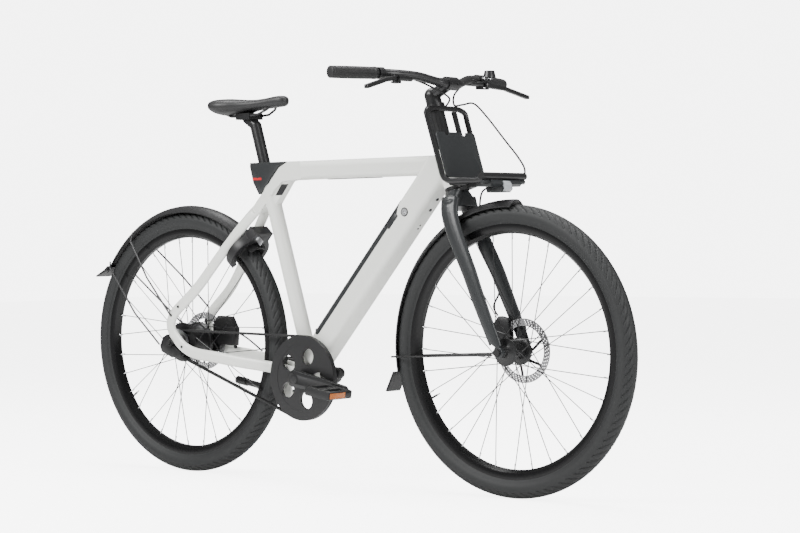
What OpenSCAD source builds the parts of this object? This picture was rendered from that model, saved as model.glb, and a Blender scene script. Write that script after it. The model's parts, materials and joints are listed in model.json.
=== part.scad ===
// City e-bike. +X points forward, +Y to the rider's left, +Z up.
// The origin is on the ground, midway along the bicycle and on its mid-plane.
// Sub-parts are drawn from the rear axle, and place() moves them to the origin.

/* [Wheels] */
// Distance between the wheel axles
wheelbase = 1122; // [1120:1:1124]
// Outer radius of the tyres, which is also the axle height
wheel_r = 361; // [360.5:0.5:361.5]
// Width of the tyre section
tyre_w = 50; // [48:1:50]
// Inner radius of the rims
rim_in_r = 290; // [289:1:291]
// Number of spokes in each wheel
spoke_count = 32; // [24:4:36]
// Radius of the brake rotors
rotor_r = 80; // [78:1:80]

/* [Steering] */
// Head angle above the horizontal, in degrees
head_angle = 73; // [72.9:0.1:73.1]
// Outer radius of the head tube
head_r = 28; // [27:1:29]
// Length of the head tube
head_len = 100; // [98:1:101]
// Half of the handlebar's width
bar_half_w = 342; // [338:1:346]

/* [Frame] */
// Height of the bottom bracket
bb_z = 277.5; // [277:0.5:278]
// Bottom bracket, forward of the rear axle
bb_x = 466; // [465.5:0.5:466.5]
// Width of the down tube
down_w = 66; // [65:1:67]
// Depth of the down tube
down_h = 78; // [77:1:79]
// Wall of the down tube and of the top tube
tube_wall = 3; // [2.5:0.5:3]
// Outer radius of the seat tube
seat_tube_r = 20.5; // [20:0.5:21]
// Radius of the seatpost
post_r = 15.8; // [15.6:0.1:15.8]

/* [Drive] */
// Pitch radius of the belt ring
ring_r = 110.4; // [110:0.2:110.4]
// Pitch radius of the rear belt sprocket
sprocket_r = 34.5; // [34:0.5:35]
// Width of the belt
belt_w = 11; // [10:1:11]
// Length of a crank arm between its centres
crank_len = 170; // [165:1:175]
// Angle of the right crank arm below the horizontal, in degrees
crank_drop = 9; // [8:1:10]

/* [Hidden] */
$fn = 64;

// Colours
off_white = [0.89, 0.90, 0.87];
graphite = [0.22, 0.23, 0.24];
black = [0.08, 0.08, 0.09];
rubber = [0.12, 0.13, 0.13];
steel = [0.75, 0.76, 0.77];

// The whole bicycle runs from the rear mudflap to the front tyre
rear_end_x = -361;
mid_x = (wheelbase + wheel_r + rear_end_x) / 2;

// Steering axis: a point on it at the foot of the head tube, and its tilt back from vertical
head_x = 948;
head_z = 768;
head_tilt = 90 - head_angle;
column_r = 20;
steerer_r = 14.3;

// Seat tube line: its foot near the bottom bracket, its slope and its length
seat_foot_x = 464;
seat_foot_z = 275;
seat_angle = 73.3;
seat_tube_top = 592;

// Down tube: its lower end on the centre line, its slope, and its length
down_x = 477;
down_z = 330;
down_slope = 48.6;
down_len = 680;
down_start = -12;

// Battery bay along the down tube's upper side
bay_from = 62;
bay_to = 497;
bay_depth = 11;
cover_t = 9.6;
cover_gap = 2;
hinge_r = 4.6;
battery_w = 51;
battery_h = 50;

// Fittings, as distances up the down tube: latch, lock, threaded bosses and cable-port screws
latch_from = 436;
latch_len = 44;
latch_low = 26;
latch_h = 15.2;
latch_t = 3.6;
latch_gap = 0.8;
key_s = 503;
key_n = 2;
boss_s = [544, 579];
port_s = [482, 493];

// Top tube
top_tube_w = 48;
top_tube_low = 800;
top_tube_high = 850;
top_tube_from = 440;
cluster_w = 40;
gusset_w = 26;

// Centre lines of the left seat stay and chain stay, hand-set, from the rear axle
seat_stay_route = [
  [286, 16, 732], [234, 34, 675], [165, 53, 593], [108, 65, 525], [66, 70, 486],
  [30, 73, 458], [8, 73, 437], [-3, 73, 413], [4, 73, 390]
];
chain_stay_route = [
  [4, 73, 390], [24, 73, 368], [48, 73, 350], [76, 73, 338], [110, 73, 331], [160, 71, 326],
  [240, 62, 315], [300, 46, 307], [346, 31, 300], [400, 28.5, 292], [434, 28, 287]
];

// Drive line
belt_y = -45;
belt_t = 4.4;
guard_r = 112.6;
ring_in_r = 87;
ring_arm_phase = -33;

// Ring lock: centre of its ring on the tyre, at this angle above the horizontal
lock_angle = 48;
tube_r = tyre_w / 2;
tyre_mid_r = wheel_r - tube_r;
lock_bolt_r = 51;
// Turns the rear spokes so that the lock's bolt passes midway between two
spoke_phase = 8.6;
spoke_r = 1.2;

// Kickstand
stand_pivot = [330, 58, 222];
stand_foot = [109, 74, 254];
stand_axis = [0.1971, -0.9804, 0];

// Section of the stays
stay_size = [7.5, 16];

// Mudguards: centres and radii
rear_fender_r = 379;
front_fender_r = 371;
fender_t = 2.4;
fender_half_w = 29;
fender_crown = 48;

// Plate-sided piece where the top tube, seat tube and stays meet
cluster_outline = [
  [440, 850], [393, 850], [363, 836], [338, 810], [304, 772], [276, 744], [262, 728], [276, 712],
  [300, 728], [318, 745], [345, 775], [372, 796], [400, 800], [440, 800]
];
gusset_outline = [[300, 728], [322, 731], [338, 730], [394, 800], [380, 806], [330, 770]];

// Axle plate with an inner tongue that bolts to the stay
dropout_outline = [
  [-10, 374], [12, 350], [34, 334], [34, 322], [0, 320], [-40, 336], [-46, 352], [-34, 376], [-18, 384]
];
tongue_outline = [[-14, 376], [20, 384], [52, 362], [66, 344], [50, 334], [10, 345]];

// Outline of the fairing behind the seat tube
fairing_outline = [
  [260, 850], [390, 850], [362, 837], [337, 811], [304, 774], [291, 764], [271, 796], [259, 840]
];

// Angles of the belt's straight runs
belt_dx = bb_x;
belt_dz = bb_z - wheel_r;
belt_lie = atan2(belt_dz, belt_dx);
belt_spread = asin((ring_r - sprocket_r) / norm([belt_dx, belt_dz]));

// Seatpost's lower and upper ends along the seat tube, and the left saddle rail's centre line
post_low = 470;
post_high = 708;
rail_route = [
  [150, 30, 1000], [166, 26, 988], [190, 22, 978], [236, 22, 976], [290, 22, 980], [318, 16, 992],
  [330, 10, 1004]
];

// Centre line of the left fork leg
fork_leg_route = [
  [958, 32, 742], [960, 40, 716], [967, 45, 690], [984, 50, 652], [1009, 54, 603], [1034, 57, 555],
  [1058, 59, 500], [1081, 60, 450], [1102, 60, 404], [1116, 59, 372]
];

// Handlebar: centre of its clamp, then its right half from the clamp to its end
bar_x = 935;
bar_z = 1028;
bar_route = [
  [bar_x, 0, bar_z], [bar_x, -30, bar_z], [926, -60, 1034], [912, -100, 1043], [893, -150, 1047],
  [873, -200, 1048], [838, -bar_half_w, 1046]
];
bar_path = concat([for (i = [len(bar_route) - 1 : -1 : 1]) bar_route[i]], mirrored(bar_route));

// Brake lever's pivot and the thickness of its fork's plates; foot of the bell
lever_pivot = [906, 186, 1036];
lever_fork_t = 3.6;
bell_foot = [915, 188, 1048];

// Front brake hose: along the bar, round the rack, through the left fork leg to the calliper
front_hose_route = [
  [892, 108, 1040], [912, 70, 1024], [918, 36, 1000], [916, 40, 976], [926, 62, 978], [946, 82, 980],
  [980, 90, 946], [1034, 92, 886], [1078, 92, 838], [1096, 92, 806], [1086, 84, 776], [1040, 66, 768],
  [1000, 58, 764], [984, 56, 744], [988, 48, 690], [1002, 52, 630], [1028, 56, 560], [1040, 55, 508],
  [1022, 55, 470], [1034, 55, 446]
];

// Rear brake hose from the right lever to the stem
bar_hose_route = [
  [892, -108, 1040], [912, -66, 1024], [924, -22, 1006], [924, 8, 994], [914, 20, 984], [903, 20, 972],
  [899, 15, 956]
];

// Front rack: half of its width, its tube, and a side rail from front to top
rack_half_w = 78;
rack_tube_r = 7;
rack_loop_route = [
  [1092, 782], [1050, 782], [1016, 782], [998, 782], [985, 784], [975, 789.5], [968.5, 799.5],
  [964, 814], [955, 843], [945, 875], [934.5, 908], [925, 938], [920, 955]
];
rack_arch_route = [[916, -66, 963], [915, -50, 966], [915, 0, 966], [915, 50, 966], [916, 66, 963]];

function unit(v) = v / norm(v);
function mirror_y(p) = [p.x, -p.y, p.z];
function mirrored(path) = [for (p = path) mirror_y(p)];

// A rounded rectangle's outline, w along x and h along y
function round_rect(w, h, r, steps = 5) = [
  for (k = [0 : 3], i = [0 : steps])
    let (
      turn = 90 * k + 90 * i / steps,
      corner_x = (k == 0 || k == 3) ? w / 2 - r : r - w / 2,
      corner_y = k < 2 ? h / 2 - r : r - h / 2
    )
    [corner_x + r * cos(turn), corner_y + r * sin(turn)]
];

// An oval outline, a across and b deep
function oval(a, b, sides = 16) = [
  for (i = [0 : sides - 1]) [a * cos(360 * i / sides), b * sin(360 * i / sides)]
];

// A smooth curve through hand-set points, with so many steps between neighbours
function curve_point(p0, p1, p2, p3, t) =
  0.5 * (2 * p1 + (p2 - p0) * t + (2 * p0 - 5 * p1 + 4 * p2 - p3) * t * t
  + (3 * p1 - p0 - 3 * p2 + p3) * t * t * t);
function smooth_path(p, steps) = concat(
  [for (i = [0 : len(p) - 2], k = [0 : steps - 1])
    curve_point(p[max(i - 1, 0)], p[i], p[i + 1], p[min(i + 2, len(p) - 1)], k / steps)],
  [p[len(p) - 1]]
);

function tangent(p, i) = unit(p[min(i + 1, len(p) - 1)] - p[max(i - 1, 0)]);

// Solid that carries an outline along a path. Outline x lies along `across`, and its size may
// change from the first ring's scale to the last ring's.
module sweep(path, outline, across = [0, 1, 0], first = 1, last = 1) {
  n = len(outline);
  rings = len(path);
  points = [
    for (i = [0 : rings - 1])
      let (
        along = tangent(path, i),
        up = unit(cross(across, along)),
        side = cross(along, up),
        size = first + (last - first) * i / (rings - 1)
      )
      for (q = outline) path[i] - size * q.x * side + size * q.y * up
  ];
  faces = concat(
    [[for (j = [0 : n - 1]) j]],
    [[for (j = [0 : n - 1]) (rings - 1) * n + n - 1 - j]],
    [for (i = [0 : rings - 2], j = [0 : n - 1])
      [i * n + j, (i + 1) * n + j, (i + 1) * n + (j + 1) % n, i * n + (j + 1) % n]]
  );
  polyhedron(points = points, faces = faces, convexity = 6);
}

// Round tube or cord along a path
module cord(path, r, sides = 8, across = [0, 1, 0]) {
  sweep(path, oval(r, r, sides), across);
}

// Cylinder between two points
module rod(from, to, r, r_end = -1) {
  v = to - from;
  translate(from)
    rotate([0, acos(v.z / norm(v)), atan2(v.y, v.x)])
      cylinder(r1 = r, r2 = r_end < 0 ? r : r_end, h = norm(v));
}

// Cylinder along Y between two y values
module axle_rod(x, z, r, from_y, to_y) {
  translate([x, from_y, z]) rotate([-90, 0, 0]) cylinder(r = r, h = to_y - from_y);
}

// Children drawn about +Z are turned about the wheel's axis, with +Z becoming +Y
module about_axle(x, z) {
  translate([x, 0, z]) rotate([-90, 0, 0]) children();
}

// Outline in the X-Z plane, given its depth along Y
module slab(outline, from_y, to_y) {
  translate([0, to_y, 0]) rotate([90, 0, 0]) linear_extrude(to_y - from_y) polygon(outline);
}

module place() {
  translate([-mid_x, 0, 0]) children();
}

// Along the steering axis, from the foot of the head tube
module on_head() {
  translate([head_x, 0, head_z]) rotate([0, -head_tilt, 0]) children();
}

// Along the seat tube, from the bottom bracket
module on_seat_tube() {
  translate([seat_foot_x, 0, seat_foot_z]) rotate([0, seat_angle - 90, 0]) children();
}

// Along the down tube: x runs up the tube and z points out of its upper side
module on_down_tube() {
  translate([down_x, 0, down_z]) rotate([0, -down_slope, 0]) children();
}

// A bar along x with a rounded section
module tube_bar(from_x, to_x, w, h, r) {
  translate([from_x, 0, 0]) rotate([90, 0, 90]) linear_extrude(to_x - from_x) polygon(round_rect(w, h, r));
}

module head_envelope() {
  on_head() translate([0, 0, -60]) cylinder(r = head_r, h = head_len + 120);
}

module seat_tube_envelope() {
  on_seat_tube() cylinder(r = seat_tube_r, h = seat_tube_top + 60);
}

module bb_envelope() {
  axle_rod(bb_x, bb_z, 32, -60, 60);
}

module top_tube_envelope() {
  translate([0, 0, (top_tube_low + top_tube_high) / 2])
    tube_bar(top_tube_from, head_x + 20, top_tube_w, top_tube_high - top_tube_low, 16);
}

module head_tube() {
  color(off_white) place() on_head() difference() {
    cylinder(r = head_r, h = head_len);
    translate([0, 0, -1]) cylinder(r = head_r - 6, h = head_len + 2);
  }
}

module top_tube() {
  color(off_white) place() difference() {
    top_tube_envelope();
    translate([0, 0, (top_tube_low + top_tube_high) / 2])
      tube_bar(top_tube_from - 1, head_x + 30, top_tube_w - 2 * tube_wall,
        top_tube_high - top_tube_low - 2 * tube_wall, 13);
    head_envelope();
    on_head() translate([0, -60, -80]) cube([120, 120, 300]);
  }
}

// Down tube, open along its upper side over the battery bay, with a notch for the latch
module down_tube() {
  color(off_white) place() difference() {
    on_down_tube() tube_bar(down_start, down_len, down_w, down_h, 20);
    on_down_tube()
      tube_bar(down_start - 1, down_len - 40, down_w - 2 * tube_wall, down_h - 2 * tube_wall, 17);
    on_down_tube() translate([bay_from, -down_w / 2 - 1, down_h / 2 - bay_depth])
      cube([bay_to - bay_from, down_w + 2, bay_depth + 1]);
    on_down_tube() translate([latch_from - latch_gap, -down_w / 2 - 1, down_h / 2 - latch_low - 0.4])
      cube([latch_len + 2 * latch_gap, 12, latch_low]);
    on_down_tube() translate([key_s, -down_w / 2 - 1, key_n]) rotate([-90, 0, 0]) cylinder(r = 9.3, h = 12);
    on_down_tube() for (s = boss_s) translate([s, 0, -down_h / 2 - 1]) cylinder(r = 2.5, h = 12);
    on_down_tube() for (s = port_s) translate([s, 0, -down_h / 2 - 1]) cylinder(r = 2, h = 12);
    head_envelope();
    top_tube_envelope();
    seat_tube_envelope();
    bb_envelope();
    on_head() translate([0, -60, -80]) cube([120, 120, 300]);
    translate([700, -60, top_tube_high - 2]) cube([300, 120, 100]);
  }
}

// Seat tube, with the clamp block and gusset at its top and the bottom-bracket shell at its foot
module seat_tube() {
  color(off_white) place() difference() {
    union() {
      on_seat_tube() cylinder(r = seat_tube_r, h = seat_tube_top);
      slab(cluster_outline, -cluster_w / 2, cluster_w / 2);
      slab(gusset_outline, -gusset_w / 2, gusset_w / 2);
      axle_rod(bb_x, bb_z, 32, -34, 34);
    }
    on_seat_tube() translate([0, 0, 60]) cylinder(r = post_r + 0.05, h = seat_tube_top);
    axle_rod(bb_x, bb_z, 22, -35, 35);
    slab([[348, 762], [359, 762], [381, 788], [366, 788]], -gusset_w / 2 - 1, -gusset_w / 2 + 2);
  }
}

// Headset cups above and below the head tube, and the two bottom-bracket cups
module bearing_cups() {
  color(black) place() {
    on_head() for (z = [-8, head_len]) translate([0, 0, z]) difference() {
      cylinder(r = head_r - 0.5, h = 8);
      translate([0, 0, -1]) cylinder(r = steerer_r + 0.05, h = 10);
    }
    on_head() for (z = [0, head_len - 12]) translate([0, 0, z]) difference() {
      cylinder(r = head_r - 6, h = 12);
      translate([0, 0, -1]) cylinder(r = steerer_r + 0.05, h = 14);
    }
    for (side = [-1, 1]) difference() {
      axle_rod(bb_x, bb_z, 22, min(side * 14, side * 38), max(side * 14, side * 38));
      axle_rod(bb_x, bb_z, 12.05, -60, 60);
    }
  }
}

module seat_stays() {
  color(off_white) place() for (route = [seat_stay_route, mirrored(seat_stay_route)]) difference() {
    sweep(smooth_path(route, 3), oval(stay_size.x, stay_size.y));
    slab(cluster_outline, -40, 40);
    seat_tube_envelope();
  }
}

// Chain stays, with the kickstand's plate welded under the left one
module chain_stays() {
  color(off_white) place() {
    for (route = [chain_stay_route, mirrored(chain_stay_route)]) difference() {
      sweep(smooth_path(route, 3), oval(stay_size.x, stay_size.y));
      bb_envelope();
      seat_tube_envelope();
    }
    slab([[312, 300], [348, 296], [344, 212], [318, 212]], 36, 43);
    rod(stand_pivot + 18 * stand_axis, stand_pivot + 10.4 * stand_axis, 12);
  }
}

module dropouts() {
  color(black) place() for (side = [-1, 1]) difference() {
    union() {
      slab(dropout_outline, min(side * 67.5, side * 75), max(side * 67.5, side * 75));
      slab(dropout_outline, min(side * 61, side * 67.5), max(side * 61, side * 67.5));
      slab(tongue_outline, min(side * 61, side * 65), max(side * 61, side * 65));
    }
    axle_rod(0, wheel_r, 6.05, -100, 100);
  }
}

// Screws of the belt split on the stays, and the kickstand's pivot pin
module frame_bolts() {
  color(black) place() {
    for (side = [-1, 1], p = [[34, 461], [6, 437], [46, 351]])
      axle_rod(p.x, p.y, 3.5, side > 0 ? 80.6 : -82.6, side > 0 ? 82.6 : -80.6);
    rod(stand_pivot + 10.5 * stand_axis, stand_pivot - 11 * stand_axis, 4);
    rod(stand_pivot - 8.4 * stand_axis, stand_pivot - 11 * stand_axis, 7);
  }
}

module tail_fairing() {
  color(graphite) place() difference() {
    slab(fairing_outline, -24, 24);
    on_seat_tube() cylinder(r = seat_tube_r + 0.1, h = 900);
    slab([for (p = cluster_outline) p + [0.1, -0.1]], -30, 30);
    light_band();
  }
}

// Band across the rear of the tail fairing
module light_band() {
  slab([[250, 803], [302, 803], [302, 809], [250, 809]], -24.1, -22.5);
  slab([[250, 803], [302, 803], [302, 809], [250, 809]], 22.5, 24.1);
  slab([[250, 803], [270, 803], [270, 809], [250, 809]], -24.1, 24.1);
}

module rear_light() {
  color("red") place() intersection() {
    light_band();
    slab(fairing_outline, -24, 24);
  }
}

module rear_axle() {
  color(steel) place() {
    axle_rod(0, wheel_r, 6, -90, 90);
    for (y = [[-84, -75.2], [75.2, 84]]) difference() {
      axle_rod(0, wheel_r, 10, y[0], y[1]);
      axle_rod(0, wheel_r, 5.9, -100, 100);
    }
  }
}

// Cross-section of a mudguard, crowned, with its outer radius r
function fender_profile(r) = concat(
  [for (y = [-fender_half_w : fender_half_w / 4 : fender_half_w]) [r - y * y / fender_crown, y]],
  [for (y = [fender_half_w : -fender_half_w / 4 : -fender_half_w]) [r - fender_t - y * y / fender_crown, y]]
);

module fender_arc(x, z, r, from_angle, to_angle) {
  translate([x, 0, z]) rotate([90, 0, 0]) rotate([0, 0, from_angle])
    rotate_extrude(angle = to_angle - from_angle, $fn = 180) polygon(fender_profile(r));
}

// Rear mudguard with its flap and four wire stays
module rear_fender() {
  color(black) place() {
    fender_arc(0, wheel_r, rear_fender_r, 43, 148);
    slab([[-310, 572], [-322, 562], [-358, 544.5], [-356, 541], [-318, 556], [-304, 568]], -27, 27);
    for (side = [-1, 1]) {
      cord([[-198, side * 29, 668], [-200, side * 36, 640], [-100, side * 70, 540], [4, side * 84, 440]],
        2.5);
      cord([[-294, side * 29, 584], [-288, side * 36, 566], [-150, side * 70, 440], [-44, side * 79, 356]],
        2.5);
    }
  }
}

// Calliper on two feet on the left chain stay
module rear_caliper() {
  color(black) place() {
    difference() {
      slab([[44, 354], [124, 350], [128, 396], [108, 430], [60, 432], [42, 410]], 46, 64);
      about_axle(0, wheel_r) translate([0, 0, 53.5]) cylinder(r = rotor_r + 3, h = 5);
    }
    for (x = [60, 110]) axle_rod(x, 357 - x / 10, 5, 63, 67.5);
  }
}

// Rear brake hose and motor cable, clipped along the left chain stay
module rear_hose() {
  color(black) place() {
    cord(smooth_path([[204, 74, 336], [192, 70, 346], [172, 64, 362], [150, 60, 376], [122, 57, 388]], 3),
      2.5);
    cord(smooth_path([[-30, 86, 350], [-10, 92, 325], [40, 90, 310], [90, 84, 318], [130, 82, 326]], 3), 3);
  }
}

// The belt's outline at an offset from its pitch line
function belt_outline(offset_r, steps = 48) = concat(
  [for (i = [0 : steps]) let (a = belt_lie - 90 - belt_spread + (180 + 2 * belt_spread) * i / steps)
    [bb_x + (ring_r + offset_r) * cos(a), bb_z + (ring_r + offset_r) * sin(a)]],
  [for (i = [0 : steps / 2]) let (a = belt_lie + 90 + belt_spread + (180 - 2 * belt_spread) * i / (steps / 2))
    [(sprocket_r + offset_r) * cos(a), wheel_r + (sprocket_r + offset_r) * sin(a)]]
);

module belt() {
  color(rubber) place() difference() {
    slab(belt_outline(belt_t / 2), belt_y - belt_w / 2, belt_y + belt_w / 2);
    slab(belt_outline(-belt_t / 2), belt_y - belt_w, belt_y + belt_w);
  }
}

// Frame of the ring lock: +Z along the tyre, +X away from the hub, from the tyre's centre
module on_ring_lock() {
  translate([tyre_mid_r * cos(lock_angle), 0, wheel_r + tyre_mid_r * sin(lock_angle)])
    rotate([0, -lock_angle, 0]) children();
}

module ring_lock() {
  color(black) place() on_ring_lock() difference() {
    union() {
      translate([0, 0, -13]) cylinder(r = 61, h = 26);
      translate([30, -34, -15]) cube([48, 68, 30]);
    }
    translate([0, 0, -16]) cylinder(r = 46, h = 32);
    rotate_extrude() translate([lock_bolt_r, 0]) circle(r = 4.4, $fn = 32);
    translate([0, 0, -16]) linear_extrude(32) polygon([[0, 0], [-80, 62], [-80, -62]]);
    translate([60, -14, -16]) cylinder(r = 6.3, h = 14);
  }
}

module ring_lock_bolt() {
  color(steel) place() on_ring_lock() {
    rotate([0, 0, -130]) rotate_extrude(angle = 240) translate([lock_bolt_r, 0]) circle(r = 4, $fn = 24);
  }
}

module ring_lock_key() {
  color(steel) place() on_ring_lock() {
    translate([60, -14, -15]) cylinder(r = 6, h = 12);
    translate([60 - 8, -14 - 1.2, -34]) cube([16, 2.4, 18.6]);
    translate([60, -14, -16]) cylinder(r = 3, h = 2);
  }
}

module bb_cover() {
  color(black) place() difference() {
    union() {
      rod([494, 0, 285], [550, 0, 290], 15.5);
      translate([550, 0, 290]) sphere(r = 16);
    }
    bb_envelope();
    on_down_tube() tube_bar(down_start - 30, down_len, down_w, down_h, 20);
  }
}

module battery_pack() {
  color(black) place() on_down_tube()
    translate([bay_from + 4, 0, down_h / 2 - cover_t - battery_h / 2])
      tube_bar(0, bay_to - bay_from - 14, battery_w, battery_h, 12);
}

// Dark strip that closes the battery bay and forms the down tube's upper side, with a round lower
// end that the battery tips out on
module battery_cover() {
  from = bay_from + 1 + hinge_r;
  color(graphite) place() on_down_tube() {
    intersection() {
      translate([from, -down_w / 2, down_h / 2 - cover_t])
        cube([bay_to - cover_gap - from, down_w, cover_t]);
      tube_bar(0, down_len, down_w - 1, down_h, 20);
    }
    translate([from, 0, down_h / 2 - cover_t / 2 - 0.1]) rotate([90, 0, 0])
      cylinder(r = hinge_r, h = battery_w, center = true);
  }
}

module battery_latch() {
  color(graphite) place() on_down_tube() intersection() {
    translate([latch_from, -down_w / 2, down_h / 2 - latch_low]) cube([latch_len, latch_t, latch_h]);
    tube_bar(0, down_len, down_w, down_h, 20);
  }
}

module battery_lock() {
  color(steel) place() on_down_tube() translate([key_s, -down_w / 2 - 1, key_n]) rotate([-90, 0, 0])
    difference() {
      cylinder(r = 9, h = 10);
      translate([-0.8, -4, -1]) cube([1.6, 8, 4]);
    }
}

module kickstand_leg() {
  leg = stand_foot - stand_pivot;
  color(black) place() difference() {
    union() {
      rod(stand_pivot, stand_pivot + 0.9 * leg, 9);
      rod(stand_pivot + 0.82 * leg, stand_foot, 11);
      rod(stand_pivot + 12 * stand_axis, stand_pivot - 9 * stand_axis, 13.5);
    }
    rod(stand_pivot + 30 * stand_axis, stand_pivot - 30 * stand_axis, 4.05);
    rod(stand_pivot + 30 * stand_axis, stand_pivot + 10 * stand_axis, 30);
    rod(stand_pivot - 8 * stand_axis, stand_pivot - 30 * stand_axis, 7.4);
  }
}

// Seatpost, with its setback head and rail clamp
module seatpost() {
  color(black) place() {
    on_seat_tube() difference() {
      translate([0, 0, post_low]) cylinder(r = post_r, h = post_high - post_low);
      translate([0, 0, post_low - 1]) cylinder(r = post_r - 2.5, h = post_high - post_low - 30);
    }
    hull() {
      translate([261, 0, 952]) sphere(r = 15, $fn = 24);
      axle_rod(238, 968, 9, -17, 17, $fn = 24);
    }
    difference() {
      slab([[212, 968], [262, 968], [262, 985], [212, 985]], -27, 27);
      for (side = [-1, 1]) cord([for (p = rail_route) [p.x, side * p.y, p.z]], 3.6);
    }
  }
}

module saddle_rails() {
  color(steel) place() for (side = [-1, 1]) cord([for (p = rail_route) [p.x, side * p.y, p.z]], 3.5);
}

// Closed outer shape of the saddle
module saddle() {
  color(black) place() hull() {
    for (side = [-1, 1]) {
      translate([160, side * 52, 1008]) scale([1, 1, 0.9]) sphere(r = 21, $fn = 24);
      translate([250, side * 22, 1006]) sphere(r = 14, $fn = 24);
    }
    translate([362, 0, 1011]) sphere(r = 16, $fn = 24);
  }
}

// Crank spindle, and the two pedal spindles screwed into the cranks
module spindles() {
  color(steel) place() {
    axle_rod(bb_x, bb_z, 12, -84, 84);
    for (side = [-1, 1]) {
      end = pedal_at(side);
      axle_rod(end[0], end[1], 8, min(side * 86, side * 91), max(side * 86, side * 91));
      axle_rod(end[0], end[1], 5, min(side * 90, side * 176), max(side * 90, side * 176));
    }
  }
}

// Belt ring: rim with its outer guard, and a five-armed carrier
module belt_ring() {
  drum_r = ring_r - belt_t / 2 - 0.4;
  color(graphite) place() about_axle(bb_x, bb_z) translate([0, 0, belt_y - belt_w / 2]) {
    rotate_extrude($fn = 128) polygon([
      [ring_in_r, -3], [guard_r, -3], [guard_r, -0.4], [drum_r, -0.4], [drum_r, belt_w], [ring_in_r, belt_w]
    ]);
    difference() {
      union() {
        translate([0, 0, -2.8]) cylinder(r = 30, h = 9);
        translate([0, 0, -2.4]) cylinder(r = ring_in_r + 1, h = 7);
      }
      for (k = [0 : 4]) rotate([0, 0, 72 * k + ring_arm_phase + 36])
        translate([60, 0, -5]) linear_extrude(16) polygon(oval(23, 20, 24));
      translate([0, 0, -10]) cylinder(r = 12.02, h = 40);
    }
  }
}

// Place of a pedal's centre line, for side -1 on the right and 1 on the left
function pedal_at(side) = [
  bb_x - side * crank_len * cos(crank_drop), bb_z + side * crank_len * sin(crank_drop)
];

module crank_arms() {
  color(graphite) place() for (side = [-1, 1]) {
    end = pedal_at(side);
    difference() {
      hull() {
        axle_rod(bb_x, bb_z, 22, min(side * 68, side * 84), max(side * 68, side * 84), $fn = 32);
        axle_rod(end[0], end[1], 14, min(side * 72, side * 86), max(side * 72, side * 86), $fn = 32);
      }
      axle_rod(bb_x, bb_z, 12.02, -90, 90);
    }
  }
}

module pedal(side) {
  at = pedal_at(side);
  from_y = min(side * 92, side * 180);
  to_y = max(side * 92, side * 180);
  translate([at[0], 0, at[1]]) rotate([0, crank_drop, 0]) difference() {
    slab([[-41, -9], [-36, -11], [36, -11], [41, -9], [41, 9], [36, 11], [-36, 11], [-41, 9]], from_y, to_y);
    for (x = [-22, 22]) translate([x, (from_y + to_y) / 2, 0]) cube([22, 62, 40], center = true);
    axle_rod(0, 0, 5.05, from_y - 1 + (side < 0 ? 4 : 0), to_y + 1 - (side < 0 ? 0 : 4));
  }
}

module pedal_right() {
  color(black) place() pedal(-1);
}

module pedal_left() {
  color(black) place() pedal(1);
}

module tyre(x) {
  about_axle(x, wheel_r) rotate_extrude($fn = 180) difference() {
    translate([tyre_mid_r, 0]) circle(r = tube_r, $fn = 64);
    translate([tyre_mid_r, 0]) circle(r = tube_r - 4, $fn = 64);
    translate([rim_in_r, -9]) square([30, 18]);
  }
}

module rim(x) {
  about_axle(x, wheel_r) rotate_extrude($fn = 180) polygon([
    [rim_in_r, -6], [rim_in_r, 6], [297, 14], [303, 15.5], [314, 15.5], [314, 12.6], [310.6, 12.6],
    [310.6, -12.6], [314, -12.6], [314, -15.5], [303, -15.5], [297, -14]
  ]);
}

// Spokes between two flanges of radius flange_r at y = +-flange_y, crossing by `lead` degrees
module spokes(x, flange_r, flange_y, lead, phase) {
  for (k = [0 : spoke_count - 1]) {
    side = k % 2 == 0 ? 1 : -1;
    pull = floor(k / 2) % 2 == 0 ? 1 : -1;
    at_rim = 360 * k / spoke_count + phase;
    at_hub = at_rim + pull * lead;
    rod(
      [x + flange_r * cos(at_hub), side * (flange_y + pull * 2.2), wheel_r + flange_r * sin(at_hub)],
      [x + (rim_in_r + 2) * cos(at_rim), side * 1.5, wheel_r + (rim_in_r + 2) * sin(at_rim)],
      spoke_r, $fn = 8
    );
  }
}

// Brake rotor: a ring on six arms, from y, round a hub of radius bore
module rotor(x, y, bore) {
  about_axle(x, wheel_r) translate([0, 0, y]) difference() {
    cylinder(r = rotor_r, h = 2);
    translate([0, 0, -1]) cylinder(r = bore, h = 4);
    for (k = [0 : 5]) rotate([0, 0, 60 * k]) translate([46, 0, -1]) cylinder(r = 15, h = 4);
  }
}

module rear_tyre() {
  color(rubber) place() tyre(0);
}

module rear_rim() {
  color(black) place() rim(0);
}

module rear_spokes() {
  color(black) place() spokes(0, 50, 30, 45, spoke_phase);
}

// Motor hub with its flanges, and the round driver that carries the sprocket
module rear_hub() {
  color(black) place() about_axle(0, wheel_r) rotate_extrude() polygon([
    [6.05, -58], [16, -58], [18, -56], [18, -38.5], [44, -36], [54, -34], [54, -26], [48, -24],
    [48, 24], [54, 26], [54, 34], [44, 38], [24, 46], [24, 55], [22, 55], [22, 60], [6.05, 60]
  ]);
}

module rear_rotor() {
  color(steel) place() rotor(0, 55, 22.02);
}

// Belt sprocket on its freewheel
module rear_sprocket() {
  color(steel) place() about_axle(0, wheel_r) translate([0, 0, belt_y]) difference() {
    union() {
      translate([0, 0, -belt_w / 2]) cylinder(r = sprocket_r - belt_t / 2 - 0.4, h = belt_w);
      translate([0, 0, -belt_w / 2 - 2.6]) cylinder(r = sprocket_r - belt_t / 2 - 0.4, h = 2.7);
      translate([0, 0, -belt_w / 2 - 2.6]) cylinder(r = sprocket_r + 3, h = 2.2);
    }
    translate([0, 0, -20]) cylinder(r = 18.3, h = 40);
  }
}

module front_tyre() {
  color(rubber) place() tyre(wheelbase);
}

module front_rim() {
  color(black) place() rim(wheelbase);
}

module front_spokes() {
  color(black) place() spokes(wheelbase, 29, 30, 62, 0);
}

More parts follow.
